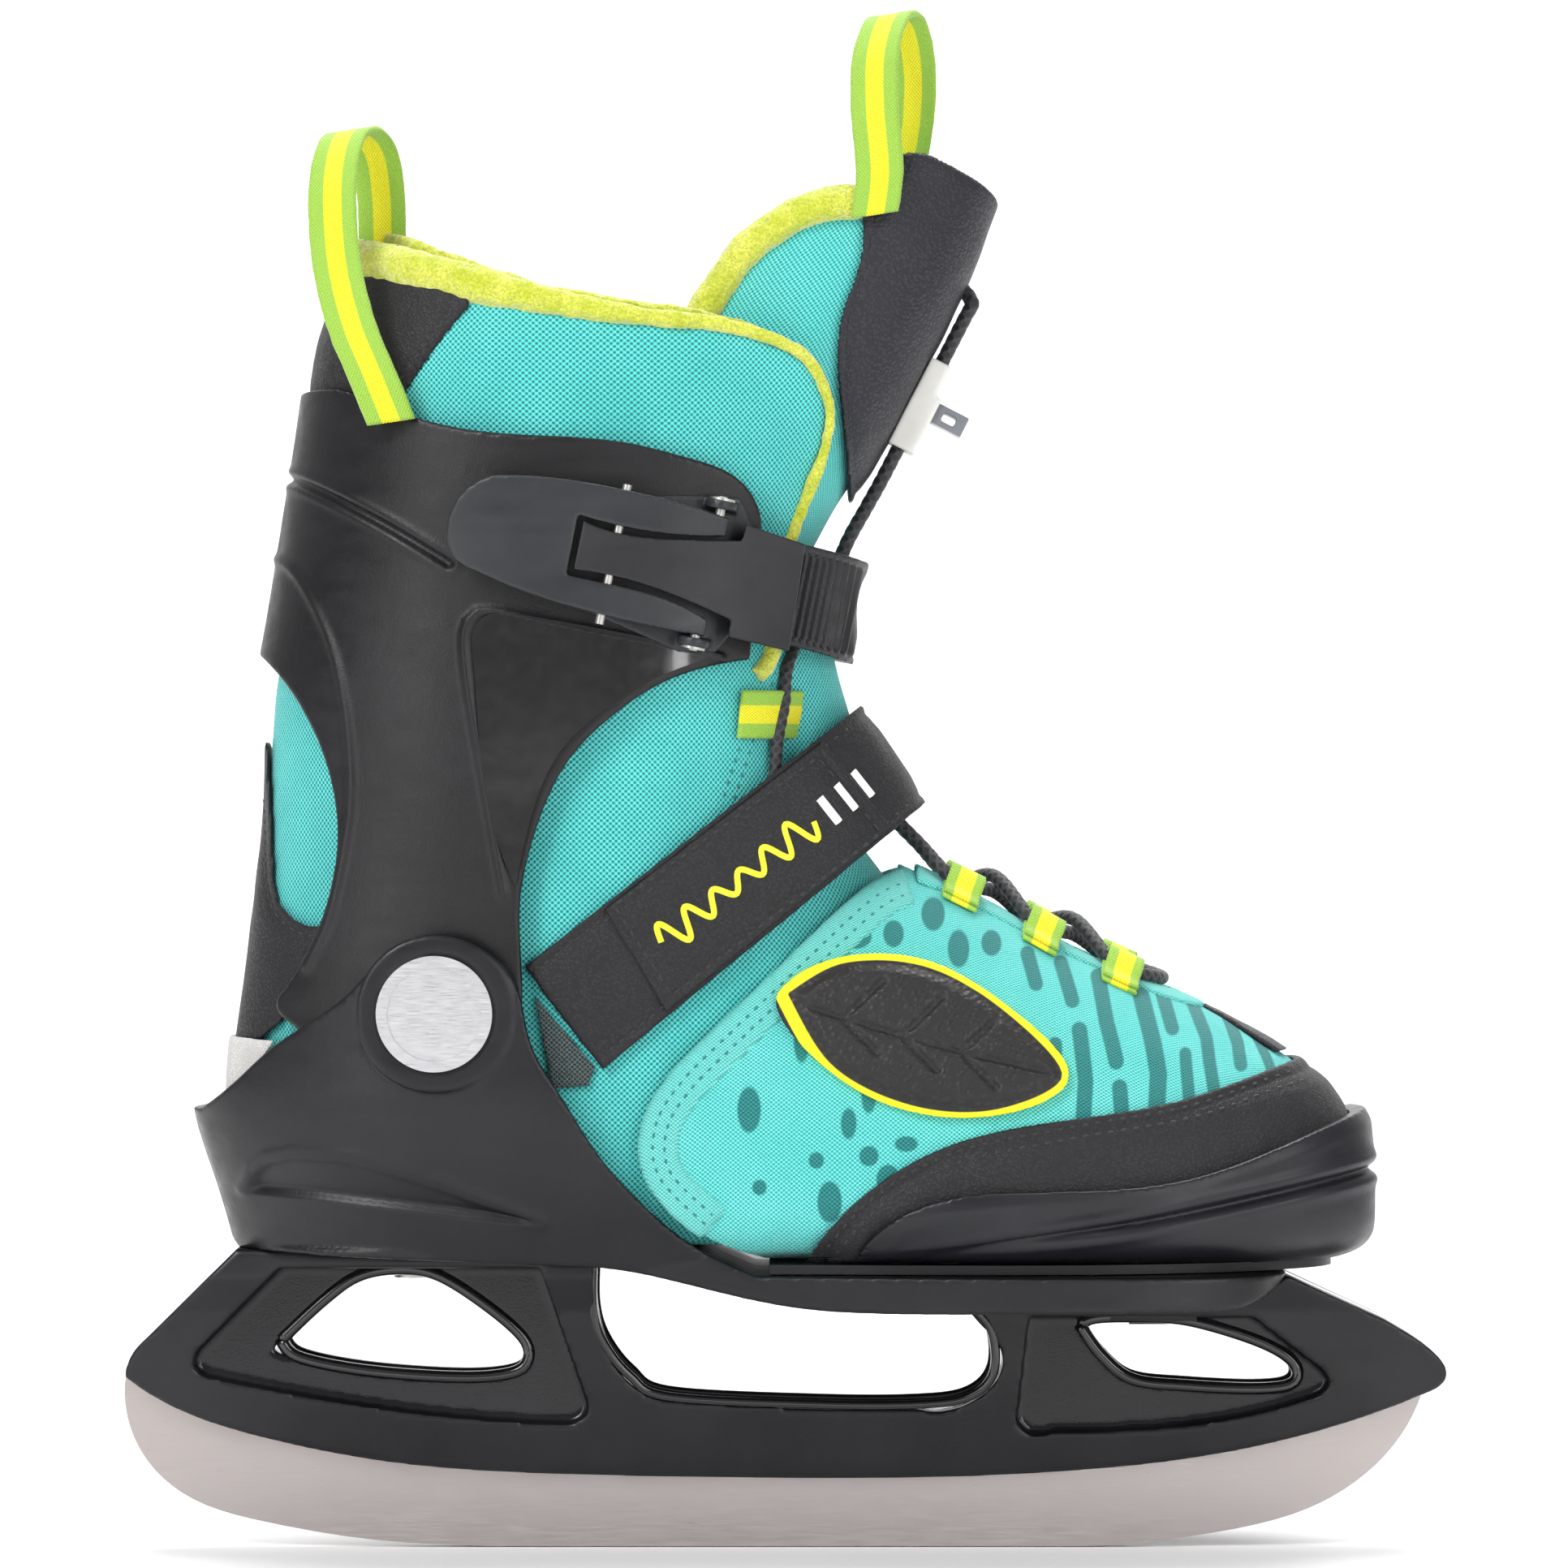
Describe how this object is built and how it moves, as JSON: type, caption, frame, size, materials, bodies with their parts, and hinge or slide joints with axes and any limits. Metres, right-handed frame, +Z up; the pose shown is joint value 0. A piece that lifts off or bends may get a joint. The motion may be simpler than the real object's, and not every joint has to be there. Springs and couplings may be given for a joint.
{
  "type": "ice skate",
  "caption": "Children's soft-boot ice skate for the right foot, with steel blade, tilting plastic cuff, buckle, lace lock and a toe box that slides to change the length.",
  "frame": {"origin": "middle of the blade's flat running edge, in the blade's centre plane", "axes": "+X along the blade to the toe, +Z up the shin, -Y the outer side with the buckle"},
  "size_m": [0.2757, 0.0983, 0.319],
  "materials": {
    "steel": "brushed",
    "zinc": "bright zinc",
    "silver": "satin",
    "black_plastic": "fine grain",
    "gloss_black": "gloss",
    "charcoal": "satin",
    "pale_grey": "satin",
    "dark_grey": "satin",
    "turquoise_mesh": "knitted mesh",
    "aqua_knit": "fine knit",
    "lime_fleece": "brushed",
    "lime_webbing": "woven",
    "black_webbing": "woven",
    "black_lining": "brushed",
    "black_cord": "braided",
    "black_leather": "fine grain",
    "foam": "brushed"
  },
  "bodies": {
    "base": {"blade": "steel", "blade_holder": "black_plastic", "mounting_bolts": "zinc", "base_shell": "black_plastic", "pivot_bolts": "zinc", "pivot_caps": "silver", "rear_boot": "turquoise_mesh", "insole": "foam", "heel_leather": "black_leather", "heel_tab": "pale_grey", "power_strap": "black_leather", "strap_patch": "black_leather", "hook_loop_pad": "black_webbing"},
    "cuff": {"cuff": "black_plastic", "cuff_inset": "gloss_black", "boot_shaft": "turquoise_mesh", "collar_lining": "lime_fleece", "collar_leather": "black_leather", "tongue": "turquoise_mesh", "tongue_leather": "black_leather", "tongue_pull_loop": "lime_webbing", "heel_pull_loop": "lime_webbing", "upper_lace": "black_cord", "buckle_base": "charcoal", "lever_pins": "zinc", "lever_washers": "zinc", "ribbed_strap": "charcoal", "strap_rivet": "zinc"},
    "lever": {"buckle_lever": "charcoal", "catch_pin": "zinc"},
    "catch": {"buckle_catch": "charcoal"},
    "lock": {"lace_lock": "pale_grey"},
    "lock_tab": {"lock_button": "dark_grey"},
    "toe_box": {"front_upper": "aqua_knit", "toe_liner": "black_lining", "eyestay": "aqua_knit", "toe_sole": "black_plastic", "toe_bumper": "black_leather", "toe_cap": "black_plastic", "toe_overlay": "black_leather", "emblem_pad": "black_leather", "front_lace": "black_cord", "front_lace_loops": "black_webbing"},
    "size_button": {"size_button": "black_plastic"}
  },
  "joints": [
    {"name": "cuff_flex", "type": "hinge", "parent": "base", "child": "cuff", "pos_m": [-0.071, 0, 0.1126], "axis": [0, 1, 0], "range_deg": [-4, 8]},
    {"name": "buckle_open", "type": "hinge", "parent": "cuff", "child": "lever", "pos_m": [-0.0155, -0.0434, 0.202], "axis": [0.1994, 0, 0.9799], "range_deg": [0, 100]},
    {"name": "catch_swing", "type": "hinge", "parent": "lever", "child": "catch", "pos_m": [-0.0345, -0.0464, 0.206], "axis": [0.1994, 0, 0.9799], "range_deg": [-100, 0]},
    {"name": "lock_slide", "type": "slide", "parent": "cuff", "child": "lock", "axis": [0.4572, 0, 0.8894], "range_m": [-0.004, 0.008]},
    {"name": "lock_pull", "type": "slide", "parent": "lock", "child": "lock_tab", "axis": [0.8894, 0, -0.4572], "range_m": [0, 0.002], "stiffness_N_per_m": 400},
    {"name": "size_slide", "type": "slide", "parent": "base", "child": "toe_box", "axis": [1, 0, 0], "range_m": [0, 0.03]},
    {"name": "size_press", "type": "slide", "parent": "base", "child": "size_button", "axis": [0, 0, 1], "range_m": [0, 0.0025], "stiffness_N_per_m": 600}
  ],
  "couplings": [
    {"joint": "catch_swing", "follows": "buckle_open", "ratio": -1}
  ]
}
